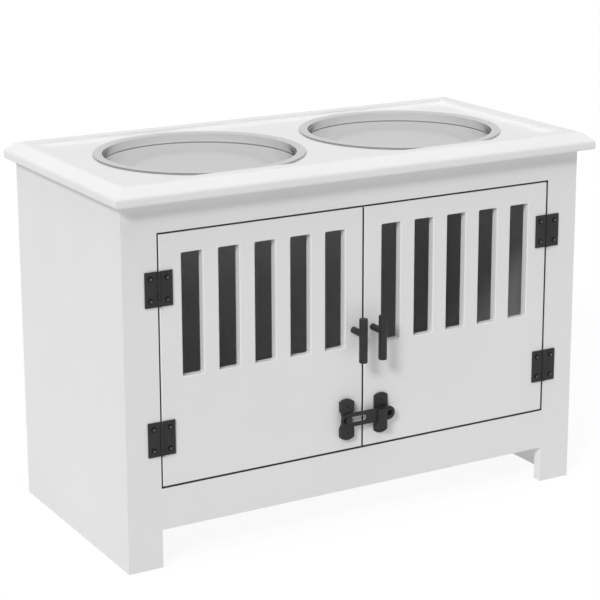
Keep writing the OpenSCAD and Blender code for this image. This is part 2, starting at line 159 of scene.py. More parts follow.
def taken(carrier: bpy.types.Object, name: str) -> Mesh:
    """Takes the finished mesh off an object with modifiers, which is used up.

    Args:
        carrier: the object.
        name: name of the mesh.

    Returns:
        The plain mesh.
    """
    source = carrier.data
    mesh = bpy.data.meshes.new_from_object(carrier.evaluated_get(bpy.context.evaluated_depsgraph_get()))
    bpy.data.objects.remove(carrier)
    bpy.data.meshes.remove(source)
    mesh.name = name
    return mesh


def smooth(mesh: Mesh, angle: float) -> None:
    """Smooths a mesh's shading, except over edges sharper than an angle in degrees."""
    mesh.polygons.foreach_set("use_smooth", [True] * len(mesh.polygons))
    mesh.set_sharp_from_angle(angle=math.radians(angle))


class Graph:
    """A node tree with a short way to add a node and wire its inputs."""

    def __init__(self, tree: bpy.types.NodeTree) -> None:
        """Keeps the tree that the nodes go into.

        Args:
            tree: shader or geometry node tree.
        """
        self.tree = tree

    def add(self, kind: str, inputs: dict[str | int, Any] | None = None, **settings: Any) -> bpy.types.Node:
        """Adds one node.

        Args:
            kind: Blender's type name of the node.
            inputs: socket name or number to a constant, or to the socket that feeds it.
            settings: properties of the node itself.

        Returns:
            The new node.
        """
        node = self.tree.nodes.new(kind)
        for key, value in settings.items():
            setattr(node, key, value)
        for key, value in (inputs or {}).items():
            self.feed(node.inputs[key], value)
        return node

    def feed(self, socket: Socket, value: Any) -> None:
        """Sets an input socket.

        Args:
            socket: the input.
            value: a constant, or an output socket to link.
        """
        if isinstance(value, Socket):
            self.tree.links.new(value, socket)
        else:
            socket.default_value = value

    def math(self, operation: str, first: Any, second: Any = 0.0) -> Socket:
        """Adds a Math node and gives its result."""
        return self.add("ShaderNodeMath", {0: first, 1: second}, operation=operation).outputs[0]


class MaterialGraph(Graph):
    """The node tree of a new material."""

    def __init__(self, name: str) -> None:
        """Starts the material.

        Args:
            name: its name.
        """
        self.material = bpy.data.materials.new(name)
        self.material.use_nodes = True
        super().__init__(self.material.node_tree)
        self.surface = self.tree.nodes["Principled BSDF"]

    def dress(self, inputs: dict[str, Any]) -> None:
        """Sets or links inputs of the surface shader by name."""
        for name, value in inputs.items():
            self.feed(self.surface.inputs[name], value)

    def show(self, shader: Socket) -> None:
        """Shows another shader in place of the surface shader."""
        self.feed(self.tree.nodes["Material Output"].inputs["Surface"], shader)


class FinishGraph(MaterialGraph):
    """The node tree of one finish, on Object coordinates in metres."""

    def __init__(self, name: str) -> None:
        """Starts the finish.

        Args:
            name: name of the material.
        """
        super().__init__(name)
        self.place = self.add("ShaderNodeTexCoord").outputs["Object"]

    def noise(self, size: float, detail: float = 2.0, vector: Any = None) -> Socket:
        """Adds a noise whose patches are about one size across.

        Args:
            size: width of a patch in metres.
            detail: octaves of finer noise.
            vector: coordinates, or None for Object coordinates.

        Returns:
            The noise's value, about 0.3 to 0.7.
        """
        inputs = {"Vector": vector or self.place, "Scale": 1.0 / size, "Detail": detail}
        return self.add("ShaderNodeTexNoise", inputs).outputs["Fac"]

    def ramp(self, value: Any, to: Pair = (0.0, 1.0), span: Pair = (0.3, 0.7)) -> Socket:
        """Maps a value from one range to another.

        Args:
            value: the socket to map.
            to: results at the ends of the span.
            span: values that give them.

        Returns:
            The mapped value.
        """
        inputs = {"Value": value, "From Min": span[0], "From Max": span[1], "To Min": to[0], "To Max": to[1]}
        return self.add("ShaderNodeMapRange", inputs).outputs["Result"]

    def blend(self, factor: Any, first: Any, second: Any) -> Socket:
        """Mixes two colours.

        Args:
            factor: 0 for the first, 1 for the second.
            first: colour or socket.
            second: colour or socket.

        Returns:
            The mixed colour.
        """
        node = self.add("ShaderNodeMix", data_type="RGBA")
        for key, value in (("Factor_Float", factor), ("A_Color", first), ("B_Color", second)):
            self.feed(next(socket for socket in node.inputs if socket.identifier == key), value)
        return next(socket for socket in node.outputs if socket.identifier == "Result_Color")

    def vector(self, operation: str, first: Any, second: Any = (0.0, 0.0, 0.0)) -> bpy.types.Node:
        """Adds a Vector Math node and gives it."""
        return self.add("ShaderNodeVectorMath", {0: first, 1: second}, operation=operation)

    def between(self, value: Any, limits: Pair) -> Socket:
        """Adds a mask that is 1 where a value lies between two limits."""
        above = self.math("GREATER_THAN", value, limits[0])
        return self.math("MULTIPLY", above, self.math("LESS_THAN", value, limits[1]))

    def inside(self, box: Box) -> Socket:
        """Adds a mask of a box.

        Args:
            box: the box, in metres.

        Returns:
            1 inside the box and 0 outside.
        """
        centred = self.vector("SUBTRACT", self.place, (box.low + box.high) / 2).outputs[0]
        scaled = self.vector("DIVIDE", centred, (box.high - box.low) / 2).outputs[0]
        size = self.vector("ABSOLUTE", scaled).outputs[0]
        part = self.add("ShaderNodeSeparateXYZ", {0: size}).outputs
        widest = self.math("MAXIMUM", self.math("MAXIMUM", part[0], part[1]), part[2])
        return self.math("LESS_THAN", widest, 1.0)

    def relief(self, height: Any, skin: Skin) -> None:
        """Gives the surface the bump of a skin, from a height of 0 to 1."""
        inputs = {"Height": height, "Distance": skin.depth, "Strength": skin.share}
        self.dress({"Normal": self.add("ShaderNodeBump", inputs).outputs["Normal"]})


@dataclass(frozen=True)
class Recesses:
    """Where the paint is darkened as painted shade: inside the cabinet, and in the gaps round the doors."""

    inside: Box
    gaps: Box
    doors: tuple[Box, Box]

    @classmethod
    def measured(cls) -> "Recesses":
        """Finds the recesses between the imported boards.

        Returns:
            The recesses, as boxes that lap over the faces round them.
        """
        lap = 0.1 * MM
        reveal = (1.0 * MM, 6.0 * MM)  # how far the painted gap shade lies behind the doors' faces
        side, back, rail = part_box("side_panel_right"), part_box("back_panel"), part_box("bottom_rail")
        doors = (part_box("door_left"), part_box("door_right"))
        face, floor, ceiling = doors[0][0].y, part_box("shelf_panel")[1].z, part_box("top_field")[0].z
        inside = Box(Vector((-side[0].x, doors[0][1].y, floor)), Vector((side[0].x, back[0].y, ceiling)))
        low = Vector((rail[0].x - lap, face + reveal[0], rail[1].z - lap))
        high = Vector((rail[1].x + lap, face + reveal[1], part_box("top_rail")[0].z + lap))
        return cls(inside.grown(lap), Box(low, high), tuple(Box(*door).grown(-lap) for door in doors))


@dataclass(frozen=True)
class Paint:
    """Satin paint sprayed on board: fine orange peel, a faint drift in tone and gloss, and painted shade
    inside the cabinet and in the gaps round the doors.
    """

    name: str
    color: Color
    shade: float = 0.975
    gloss: Pair = (0.41, 0.51)
    tone_patch: float = 110.0 * MM
    gloss_patch: float = 34.0 * MM
    peel: Skin = Skin(1.3 * MM, 0.05 * MM, 0.35)
    # painted shade: a grey inside the cabinet and a near-black in the door gaps, standing in for the shade
    # there
    lining: Color = (0.68, 0.68, 0.69, 1.0)
    seal: Color = grey(0.10)

    def material(self, recesses: Recesses) -> Material:
        """Builds the material.

        Args:
            recesses: where the paint takes the darker tones of painted shade, inside the cabinet and in the
                door gaps.

        Returns:
            The paint.
        """
        graph = FinishGraph(self.name)
        drift = graph.ramp(graph.noise(self.tone_patch))
        tone = graph.blend(drift, toned(self.color, self.shade), self.color)
        # painted shade inside the cabinet
        tone = graph.blend(graph.inside(recesses.inside), tone, self.lining)
        # painted shade in the reveals round the doors, outside the doors themselves; mixed in below
        gap = graph.inside(recesses.gaps)
        for door in recesses.doors:
            gap = graph.math("MULTIPLY", gap, graph.math("SUBTRACT", 1.0, graph.inside(door)))
        gloss = graph.ramp(graph.noise(self.gloss_patch), self.gloss)
        graph.dress({"Base Color": graph.blend(gap, tone, self.seal), "Roughness": gloss})
        graph.relief(graph.noise(self.peel.size, self.peel.octaves), self.peel)
        return graph.material


@dataclass(frozen=True)
class PowderCoat:
    """Matt black powder coat: a fine pebbled skin that is a little paler on its grains, and on screw heads a
    painted highlight on the crowns.
    """

    name: str
    color: Color
    gloss: Pair = (0.36, 0.50)
    grain: Skin = Skin(0.55 * MM, 0.03 * MM, 0.6)
    patch: float = 9.0 * MM
    speckle: Pair = (0.2, 0.4)
    paler: float = 1.35
    shine: float = 0.25
    # painted highlight: the paler tone on the crowns of the hinge screws
    rubbed: Color = (0.20, 0.20, 0.205, 1.0)

    def material(self, crowns: Box | None = None) -> Material:
        """Builds the material.

        Args:
            crowns: where a paler tone is painted on as a highlight, or None.

        Returns:
            The coat.
        """
        graph = FinishGraph(self.name)
        grains = graph.noise(self.grain.size, self.grain.octaves)
        patches = graph.noise(self.patch)
        share = graph.ramp(graph.math("MULTIPLY", grains, patches), span=self.speckle)
        tone = graph.blend(share, self.color, toned(self.color, self.paler))
        # painted highlight on the screw crowns
        if crowns:
            tone = graph.blend(graph.inside(crowns), tone, self.rubbed)
        gloss = graph.ramp(patches, self.gloss)
        graph.dress({"Base Color": tone, "Roughness": gloss, "Specular IOR Level": self.shine})
        graph.relief(grains, self.grain)
        return graph.material


@dataclass(frozen=True)
class SpunSteel:
    """Polished stainless steel with faint rings left by the spinning lathe, and rings of painted shade in
    the crease and at the rim's lip.
    """

    name: str
    color: Color
    # painted shade: the tone of the dark rings in the crease and at the rim's lip
    dull: Color
    roughness: float = 0.17
    ring: Skin = Skin(0.7 * MM, 0.006 * MM, 0.5)
    ring_shade: float = 0.97
    ring_gloss: Pair = (-0.02, 0.02)
    smudge: float = 45.0 * MM
    smudge_gloss: Pair = (-0.03, 0.03)

    def material(self, axis: Vector, bands: list[Band]) -> Material:
        """Builds the material.

        Args:
            axis: a point on the upright axis that the rings run round.
            bands: rings painted darker as shade, in the crease under the collar and along the rim's lip.

        Returns:
            The steel.
        """
        graph = FinishGraph(self.name)
        centred = graph.vector("SUBTRACT", graph.place, axis).outputs[0]
        level = graph.vector("MULTIPLY", centred, (1.0, 1.0, 0.0)).outputs[0]
        radius = graph.vector("LENGTH", level).outputs["Value"]
        height = graph.add("ShaderNodeSeparateXYZ", {0: centred}).outputs["Z"]
        around = graph.add("ShaderNodeCombineXYZ", {"X": radius, "Y": height}).outputs[0]
        rings = graph.noise(self.ring.size, self.ring.octaves, around)
        tone = graph.blend(graph.ramp(rings), toned(self.color, self.ring_shade), self.color)
        # painted shade in the crease and along the rim's lip
        for band in bands:
            across, up = graph.between(radius, band.radius), graph.between(height, band.height)
            tone = graph.blend(graph.math("MULTIPLY", across, up), tone, self.dull)
        smudges = graph.ramp(graph.noise(self.smudge), self.smudge_gloss)
        gloss = graph.math("ADD", graph.ramp(rings, self.ring_gloss), smudges)
        gloss = graph.math("ADD", gloss, self.roughness)
        graph.dress({"Metallic": 1.0, "Base Color": tone, "Roughness": gloss})
        graph.relief(rings, self.ring)
        return graph.material


@dataclass(frozen=True)
class Plating:
    """Zinc plating with its cloudy passivated patches."""

    name: str
    color: Color
    shade: float = 0.82
    gloss: Pair = (0.34, 0.48)
    cloud: float = 2.4 * MM
    cloud_octaves: float = 4.0
    crystals: Skin = Skin(0.4 * MM, 0.01 * MM, 0.5, 2.0)

    def material(self) -> Material:
        """Builds the material.

        Returns:
            The plating.
        """
        graph = FinishGraph(self.name)
        cloud = graph.noise(self.cloud, self.cloud_octaves)
        tone = graph.blend(graph.ramp(cloud), toned(self.color, self.shade), self.color)
        graph.dress({"Metallic": 1.0, "Base Color": tone, "Roughness": graph.ramp(cloud, self.gloss)})
        graph.relief(graph.noise(self.crystals.size, self.crystals.octaves), self.crystals)
        return graph.material


@dataclass(frozen=True)
class SoftRubber:
    """Translucent grey bumper rubber with a dull moulded skin."""

    name: str
    color: Color
    shade: float = 0.9
    gloss: Pair = (0.5, 0.62)
    clear: float = 0.2
    reach: float = 2.0 * MM
    skin: Skin = Skin(0.8 * MM, 0.03 * MM, 0.4)

    def material(self) -> Material:
        """Builds the material.

        Returns:
            The rubber.
        """
        graph = FinishGraph(self.name)
        grains = graph.noise(self.skin.size, self.skin.octaves)
        tone = graph.blend(graph.ramp(grains), toned(self.color, self.shade), self.color)
        graph.dress({"Base Color": tone, "Roughness": graph.ramp(grains, self.gloss)})
        graph.dress({"Subsurface Weight": self.clear, "Subsurface Radius": (self.reach,) * 3})
        graph.relief(grains, self.skin)
        return graph.material


class GeometryRecipe(Graph):
    """A Geometry Nodes tree with named inputs, and the way to run it once."""

    def __init__(self, name: str) -> None:
        """Starts the tree.

        Args:
            name: name of the tree.
        """
        super().__init__(bpy.data.node_groups.new(name, "GeometryNodeTree"))
        self.tree.interface.new_socket("Geometry", in_out="INPUT", socket_type="NodeSocketGeometry")
        self.tree.interface.new_socket("Geometry", in_out="OUTPUT", socket_type="NodeSocketGeometry")
        self.entry = self.add("NodeGroupInput")

    def ask(self, name: str, kind: str = "Float") -> Socket:
        """Adds a named input.

        Args:
            name: label of the input.
            kind: Float, Int, Vector or Material.

        Returns:
            The socket inside the tree.
        """
        self.tree.interface.new_socket(name, in_out="INPUT", socket_type=f"NodeSocket{kind}")
        return self.entry.outputs[name]

    def triple(self, x: Any = 0.0, y: Any = 0.0, z: Any = 0.0) -> Socket:
        """Joins three values or sockets into a vector socket."""
        return self.add("ShaderNodeCombineXYZ", {"X": x, "Y": y, "Z": z}).outputs[0]

    def moved(self, source: bpy.types.Node, **how: Any) -> Socket:
        """Moves or scales the mesh that a node makes."""
        return self.add("GeometryNodeTransform", {"Geometry": source.outputs["Mesh"], **how}).outputs[0]

    def block(self, size: Any, centre: Any) -> Socket:
        """Adds a box of a size round a centre and gives its mesh."""
        return self.moved(self.add("GeometryNodeMeshCube", {"Size": size}), Translation=centre)

    def cut(self, body: Any, tools: list[Any], operation: str = "DIFFERENCE") -> Socket:
        """Joins or cuts meshes.

        Args:
            body: the first mesh.
            tools: meshes taken away from it or joined to it.
            operation: DIFFERENCE or UNION.

        Returns:
            The resulting mesh.
        """
        node = self.add("GeometryNodeMeshBoolean", operation=operation, solver="EXACT")
        self.feed(node.inputs["Mesh 1" if operation == "DIFFERENCE" else "Mesh 2"], body)
        for tool in tools:
            self.feed(node.inputs["Mesh 2"], tool)
        return node.outputs["Mesh"]

    def close(self, geometry: Any, material: Any) -> None:
        """Ends the tree.

        Args:
            geometry: what the tree has made.
            material: socket with the material to set.
        """
        real = self.add("GeometryNodeRealizeInstances", {"Geometry": geometry})
        dressed = self.add("GeometryNodeSetMaterial", {"Geometry": real.outputs[0], "Material": material})
        self.add("NodeGroupOutput", {"Geometry": dressed.outputs[0]})

    def run(self, name: str, points: list[Vector], values: dict[str, Any]) -> Mesh:
        """Runs the tree on a few points.

        Args:
            name: name of the mesh.
            points: places in metres.
            values: input label to value.

        Returns:
            The plain mesh that the tree makes.
        """
        seed = bpy.data.meshes.new(name + "_points")
        seed.from_pydata([tuple(p) for p in points], [], [])
        carrier = placed(name + "_points", seed)
        modifier = carrier.modifiers.new("recipe", "NODES")
        modifier.node_group = self.tree
        for item in self.tree.interface.items_tree:
            if item.item_type == "SOCKET" and item.in_out == "INPUT" and item.name in values:
                modifier[item.identifier] = values[item.name]
        return taken(carrier, name)


class Workshop:
    """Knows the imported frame, and turns its nodes into finished pieces."""

    def __init__(self, frame: dict[str, Any]) -> None:
        """Reads the frame.
        """
        record = frame["record"]
        self.nodes: dict[str, bpy.types.Object] = frame["nodes"]
        self.openings = {o["name"]: o["box_m"] for o in record["physics"]["openings"]}
        self.bodies = {n: body for body, names in record["behaviour"]["bodies"].items() for n in names}
        self.slots = {part["node"]: part["material_slot"] for part in record["subparts"]}

    def release(self, mesh: Mesh, material: Material, node: str) -> None:
        """Puts a finished piece in the scene in place of its node.

        Args:
            mesh: its mesh, in place, with the piece's name.
            material: its finish.
            node: the CAD node that it replaces.
        """
        mesh.materials.clear()
        mesh.materials.append(material)
        piece = placed(mesh.name, mesh)
        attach(piece, self.bodies[node])
        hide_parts(node)
        LOG.info("%s: %d faces", piece.name, len(mesh.polygons))

    def solid(self, node: str) -> bmesh.types.BMesh:
        """Gives a merged copy of a node's mesh, with its flat faces joined.

        Args:
            node: name of the CAD node.

        Returns:
            The copy.
        """
        source = self.nodes[node].data
        work = bmesh.new()
        verts = [work.verts.new(v.co) for v in source.vertices]
        for face in source.polygons:
            work.faces.new([verts[i] for i in face.vertices])
        bmesh.ops.remove_doubles(work, verts=work.verts, dist=WELD)
        limits = {"angle_limit": math.radians(FLAT_ANGLE), "delimit": {"NORMAL"}}
        bmesh.ops.dissolve_limit(work, verts=work.verts, edges=work.edges, **limits)
        return work

    def ease(
        self, node: str, edge: float, material: Material, steps: int = 2, grain: Vector | None = None
    ) -> None:
        """Makes a piece from a node by rounding its sharp edges.

        Args:
            node: name of the CAD node.
            edge: width of the rounding in metres.
            material: finish of the piece.
            steps: faces across the rounding.
            grain: way along which an edge must run to be rounded, or None for all.
        """
        work = self.solid(node)
        if grain:
            weigh(work, grain, edge)
        mesh = bpy.data.meshes.new("eased_" + node)
        work.to_mesh(mesh)
        work.free()
        self.release(rounded(mesh, edge, steps, bool(grain)), material, node)

    def islands(self, node: str) -> list[tuple[Vector, Vector]]:
        """Finds the separate solids of a node.

        Args:
            node: name of the CAD node.

        Returns:
            Lowest and highest corner of each solid.
        """
        work = self.solid(node)
        left = set(work.verts)
        boxes = []
        while left:
            reach = [left.pop()]
            group = []
            while reach:
                vert = reach.pop()
                group.append(vert.co.copy())
                near = {e.other_vert(vert) for e in vert.link_edges} & left
                left -= near
                reach.extend(near)
            boxes.append(corners(group))
        work.free()
        return sorted(boxes, key=lambda box: tuple(box[0]))


def corners(points: list[Vector]) -> tuple[Vector, Vector]:
    """Gives the lowest and highest corner of a cloud of points."""
    low, high = (Vector([pick(p[i] for p in points) for i in range(3)]) for pick in (min, max))
    return low, high


def weigh(work: bmesh.types.BMesh, grain: Vector, edge: float) -> None:
    """Gives the sharp edges that run one way a bevel weight, less where a face beside them is narrow.

    Args:
        work: the mesh; its other sharp edges stay sharp.
        grain: the way.
        edge: width of the full rounding in metres.
    """
    weight = work.edges.layers.float.new("bevel_weight_edge")
    for line in work.edges:
        if line.calc_face_angle(0.0) < math.radians(EDGE_ANGLE):
            continue
        along = (line.verts[1].co - line.verts[0].co).normalized()
        if abs(along.dot(grain)) > LONGWAYS:
            narrow = min(face.calc_area() for face in line.link_faces) / line.calc_length()
            line[weight] = min(1.0, EDGE_SHARE * narrow / edge)
        else:
            line.smooth = False


def rounded(mesh: Mesh, edge: float, steps: int, weighed: bool = False) -> Mesh:
    """Rounds a mesh's sharp edges and smooths its shading.

    Args:
        mesh: the sharp mesh, which is used up.
        edge: width of the rounding in metres.
        steps: faces across the rounding.
        weighed: True if the edges to round carry a bevel weight, False if their angle tells.

    Returns:
        The rounded mesh.
    """
    mesh.polygons.foreach_set("use_smooth", [True] * len(mesh.polygons))
    carrier = placed(mesh.name, mesh)
    bevel = carrier.modifiers.new("edge", "BEVEL")
    bevel.width = edge
    bevel.segments = steps
    bevel.limit_method = "WEIGHT" if weighed else "ANGLE"
    bevel.angle_limit = math.radians(EDGE_ANGLE)
    bevel.miter_outer = "MITER_ARC"
    bevel.use_clamp_overlap = not weighed
    shade = carrier.modifiers.new("shade", "WEIGHTED_NORMAL")
    shade.weight = 100
    shade.keep_sharp = weighed
    return taken(carrier, mesh.name)


def arc(centre: Pair, radii: Pair, start: float, end: float, steps: int) -> list[Pair]:
    """Points along an elliptical arc.

    Args:
        centre: its centre.
        radii: its half widths across and up.
        start: first angle in degrees.
        end: last angle in degrees.
        steps: stretches between the points.

    Returns:
        The points, both ends included.
    """
    turns = [math.radians(start + (end - start) * i / steps) for i in range(steps + 1)]
    return [(centre[0] + radii[0] * math.cos(t), centre[1] + radii[1] * math.sin(t)) for t in turns]


def turned(name: str, profile: list[Pair], axis: Vector, steps: int = 160) -> Mesh:
    """Turns a closed profile round an upright axis.

    Args:
        name: name of the mesh.
        profile: radius and height of each corner, the first and last on the axis.
        axis: a point at height 0 of the profile.
        steps: faces round the axis.

    Returns:
        A closed mesh with smooth shading.
    """
    verts = [(axis.x, axis.y, axis.z + profile[0][1]), (axis.x, axis.y, axis.z + profile[-1][1])]
    faces = []
    inner = profile[1:-1]
    last = len(inner) - 1
    for radius, height in inner:
        for i in range(steps):
            turn = 2 * math.pi * i / steps
            x, y = radius * math.cos(turn), radius * math.sin(turn)
            verts.append((axis.x + x, axis.y + y, axis.z + height))
    rows = [[2 + row * steps + i % steps for i in range(steps + 1)] for row in range(len(inner))]
    for i in range(steps):
        faces.append((0, rows[0][i], rows[0][i + 1]))
        faces.append((1, rows[last][i + 1], rows[last][i]))
        for this, following in zip(rows, rows[1:]):
            faces.append((this[i], following[i], following[i + 1], this[i + 1]))
    mesh = bpy.data.meshes.new(name)
    mesh.from_pydata(verts, [], faces)
    work = bmesh.new()
    work.from_mesh(mesh)
    bmesh.ops.recalc_face_normals(work, faces=work.faces)
    work.to_mesh(mesh)
    work.free()
    smooth(mesh, TURNED_ANGLE)
    return mesh


@dataclass(frozen=True)
class Finishes:
    """All materials of the stand."""

    paint: Material
    hardboard: Material
    black: Material
    screw_black: Material
    zinc: Material
    rubber: Material

    @classmethod
    def mixed(cls) -> "Finishes":
        """Builds the materials.

        Returns:
            The materials, with the paint's painted shade in the recesses and the painted highlights on the
            screw crowns in place.
        """
        recesses = Recesses.measured()
        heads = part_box("frame_leaf_screws")
        highlight_depth, lap = 0.12 * MM, 0.05 * MM  # depth of the painted highlights on the screw crowns, and reach of their box past them
        crowns = Box(heads[0], Vector((heads[1].x, heads[0].y + highlight_depth, heads[1].z))).grown(lap)
        # the first skin is the matt peel of the hardboard paint
        dull, fine = Skin(0.9 * MM, 0.05 * MM, 0.35), Skin(0.3 * MM, 0.03 * MM, 0.6)
        white = Paint("satin_white_paint", grey(0.80))
        sheet = Paint("painted_hardboard", (0.76, 0.76, 0.755, 1.0), 0.95, (0.53, 0.63), peel=dull)
        screws = PowderCoat("black_screw_finish", grey(0.004), (0.18, 0.32), fine)
        return cls(
            paint=white.material(recesses),
            hardboard=sheet.material(recesses),
            black=PowderCoat("black_powder_coat", (0.026, 0.026, 0.0265, 1.0)).material(),
            screw_black=screws.material(crowns),
            zinc=Plating("zinc_plating", (0.62, 0.63, 0.64, 1.0)).material(),
            rubber=SoftRubber("bumper_rubber", (0.62, 0.62, 0.6, 1.0)).material(),
        )


@dataclass
class Assembly:
    """What a sub-assembly is made with."""

    shop: Workshop
    finishes: Finishes

    def paint(self, node: str, edge: float, **how: Any) -> None:
        """Rounds the edges of a node and paints it."""
        self.shop.ease(node, edge, self.finishes.paint, **how)

    def coat(self, node: str, edge: float, **how: Any) -> None:
        """Rounds the edges of a node and gives it the powder coat."""
        self.shop.ease(node, edge, self.finishes.black, **how)


@dataclass
class Carcass(Assembly):
    """The painted boards of the cabinet, with the inner cleats, stop and bumpers."""

    board_edge: float = 0.08 * MM
    leg_edge: float = 0.3 * MM
    bumper_edge: float = 0.8 * MM

    def build(self) -> None:
        """Rounds and paints every board."""
        boards = ["top_rail", "bottom_rail", "shelf_panel", "door_stop"]
        for side in Side:
            boards += [f"top_cleat_{side}", f"shelf_cleat_{side}"]
            self.paint(f"side_panel_{side}", self.leg_edge)
            self.paint(f"stile_{side}", self.board_edge)
        for node in boards:
            self.paint(node, self.board_edge)
        self.shop.ease("back_panel", self.board_edge, self.finishes.hardboard)
        self.shop.ease("stop_bumpers", self.bumper_edge, self.finishes.rubber, steps=3)


@dataclass
class FramedTop(Assembly):
    """The sunken board with its two cut-outs and the mitred moulding round it."""

    field_edge: float = 0.4 * MM
    moulding_edge: float = 2.2 * MM
    moulding_steps: int = 4

    def build(self) -> None:
        """Rounds and paints the top, and keeps the mitres sharp."""
        self.paint("top_field", self.field_edge)
        across, along = Vector((1.0, 0.0, 0.0)), Vector((0.0, 1.0, 0.0))
        for run, grain in {"front": across, "back": across, "left": along, "right": along}.items():
            self.paint(f"moulding_{run}", self.moulding_edge, steps=self.moulding_steps, grain=grain)


@dataclass
class FeedBowl:
    """A spun steel bowl: flat rim, upright collar, a step, and a round dish below it."""

    shop: Workshop
    side: Side
    collar_radius: float = 106.5 * MM
    collar_height: float = 12.5 * MM
    floor_radius: float = 70.0 * MM
    sheet: float = 0.9 * MM
    step: float = 1.6 * MM
    ledge_round: float = 0.7 * MM
    crease_round: float = 0.3 * MM
    shoulder_round: float = 1.3 * MM
    lip_round: float = 1.1 * MM
    rim_lip: float = 2.0 * MM
    # widths of the painted shade in the crease and at the lip
    crease_line: float = 1.3 * MM
    lip_line: float = 0.35 * MM
    dish_steps: int = 40
    ledge_steps: int = 5
    crease_steps: int = 3
    rim_steps: int = 6

    def profile(self, rim: float, depth: float) -> list[Pair]:
        """Works out the section from the inside of the floor over the rim to its underside.

        Args:
            rim: radius over the rim.
            depth: depth of the bowl.

        Returns:
            Radius and height below the rim's top of each corner.
        """
        collar, sheet, foot = self.collar_radius, self.sheet, -self.collar_height
        wide, deep = collar - self.step - self.floor_radius, depth + foot - sheet
        base = (self.floor_radius, foot)
        inner = arc(base, (wide, deep), -90.0, 0.0, self.dish_steps)
        outer = arc(base, (wide + sheet, deep + sheet), 0.0, -90.0, self.dish_steps)
        bulge, crease, ledge = self.ledge_round, self.crease_round, self.ledge_round + foot
        turn = arc((collar - self.step + bulge, foot), (bulge, bulge), 180.0, 90.0, self.ledge_steps)
        corner = arc((collar - crease, ledge + crease), (crease, crease), -90.0, 0.0, self.crease_steps)
        round_in, round_out = self.shoulder_round, self.lip_round
        shoulder = arc((collar + round_in, -round_in), (round_in, round_in), 180.0, 90.0, self.rim_steps)
        lip = arc((rim - round_out, -round_out), (round_out, round_out), 90.0, 0.0, self.rim_steps)
        return [
            (0.0, -depth + sheet),
            *inner,
            *turn[1:],
            *corner,
            *shoulder,
            *lip,
            (rim, -self.rim_lip),
            (rim - sheet, -self.rim_lip),
            (rim - sheet, -sheet),
            (collar + sheet, -sheet),
            (collar + sheet, foot + sheet),
            *outer,
            (0.0, -depth),
        ]

    def bands(self, rim: float) -> list[Band]:
        """Gives the rings painted darker as shade: the crease under the collar, and the rim's lip over the
        dark gap beneath it.

        Args:
            rim: radius over the rim.

        Returns:
            The rings of painted shade.
        """
        ledge, lap = self.ledge_round - self.collar_height, 0.1 * MM
        reach = (self.collar_radius - self.step / 2, self.collar_radius + lap)
        crease = Band(reach, (ledge - lap, ledge + self.crease_line))
        edge = Band((rim - self.lip_line, rim + lap), (-self.rim_lip - lap, lap))
        return [crease, edge]

    def build(self, steel: SpunSteel) -> None:
        """Spins the bowl and polishes it.

        Args:
            steel: the bowl's finish.
        """
        node = f"bowl_{self.side}"
        low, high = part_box(node)
        axis = Vector(((low.x + high.x) / 2, (low.y + high.y) / 2, high.z))
        rim = (high.x - low.x) / 2
        mesh = turned(f"spun_{node}", self.profile(rim, high.z - low.z), axis)
        self.shop.release(mesh, steel.material(axis, self.bands(rim)), node)


@dataclass
class SlottedDoor(Assembly):
    """A door of one board with a row of upright slots, made by a Geometry Nodes recipe."""

    side: Side
    slots: int = 5
    slot_pitch: float = 43.1 * MM
    slot_margin: float = 2.0 * MM
    edge: float = 1.3 * MM
    edge_steps: int = 3

    @staticmethod
    def recipe() -> GeometryRecipe:
        """Writes the recipe of a board less a row of slots.

        Returns:
            The recipe.
        """
        recipe = GeometryRecipe("slotted_board")
        width, height, thickness = (recipe.ask(n) for n in ("Width", "Height", "Thickness"))
        count, pitch = recipe.ask("Slot Count", "Int"), recipe.ask("Slot Pitch")
        slot_width, slot_height = recipe.ask("Slot Width"), recipe.ask("Slot Height")
        first, centre = recipe.ask("First Slot", "Vector"), recipe.ask("Centre", "Vector")
        material = recipe.ask("Paint", "Material")
        board = recipe.block(recipe.triple(width, thickness, height), centre)
        steps = {"Count": count, "Start Location": first, "Offset": recipe.triple(pitch)}
        row = recipe.add("GeometryNodeMeshLine", steps)
        deep = recipe.math("MULTIPLY", thickness, 2.0)
        hole = recipe.block(recipe.triple(slot_width, deep, slot_height), (0.0, 0.0, 0.0))
        each = {"Points": row.outputs["Mesh"], "Instance": hole}
        holes = recipe.add("GeometryNodeInstanceOnPoints", each)
        real = recipe.add("GeometryNodeRealizeInstances", {"Geometry": holes.outputs[0]})
        recipe.close(recipe.cut(board, [real.outputs[0]]), material)
        return recipe

    def build(self, recipe: GeometryRecipe) -> None:
        """Cuts, rounds and paints the door.

        Args:
            recipe: the shared recipe.
        """
        node = f"door_{self.side}"
        low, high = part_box(node)
        margin = Vector((self.slot_margin, 0.0, self.slot_margin))
        start, end = (Vector(c) for c in self.shop.openings[f"slot_{self.side}_1"])
        slot_low, slot_high = start - margin, end + margin
        values = {
            "Width": high.x - low.x,
            "Height": high.z - low.z,
            "Thickness": high.y - low.y,
            "Slot Count": self.slots,
            "Slot Pitch": self.slot_pitch,
            "Slot Width": slot_high.x - slot_low.x,
            "Slot Height": slot_high.z - slot_low.z,
            "First Slot": (slot_low + slot_high) / 2,
            "Centre": (low + high) / 2,
            "Paint": self.finishes.paint,
        }
        mesh = recipe.run(f"slotted_{node}", [Vector()], values)
        self.shop.release(rounded(mesh, self.edge, self.edge_steps), self.finishes.paint, node)


@dataclass
class Hinges(Assembly):
    """Four butt hinges: two leaves each, on a shared pin."""

    leaf_edge: float = 0.3 * MM
    pin_edge: float = 0.2 * MM

    def build(self) -> None:
        """Rounds and coats the leaves and the pins."""
        for side in Side:
            for level in ("upper", "lower"):
                for owner in ("frame", "door"):
                    self.coat(f"{owner}_leaf_{level}_{side}", self.leaf_edge)
        self.coat("hinge_pins", self.pin_edge)


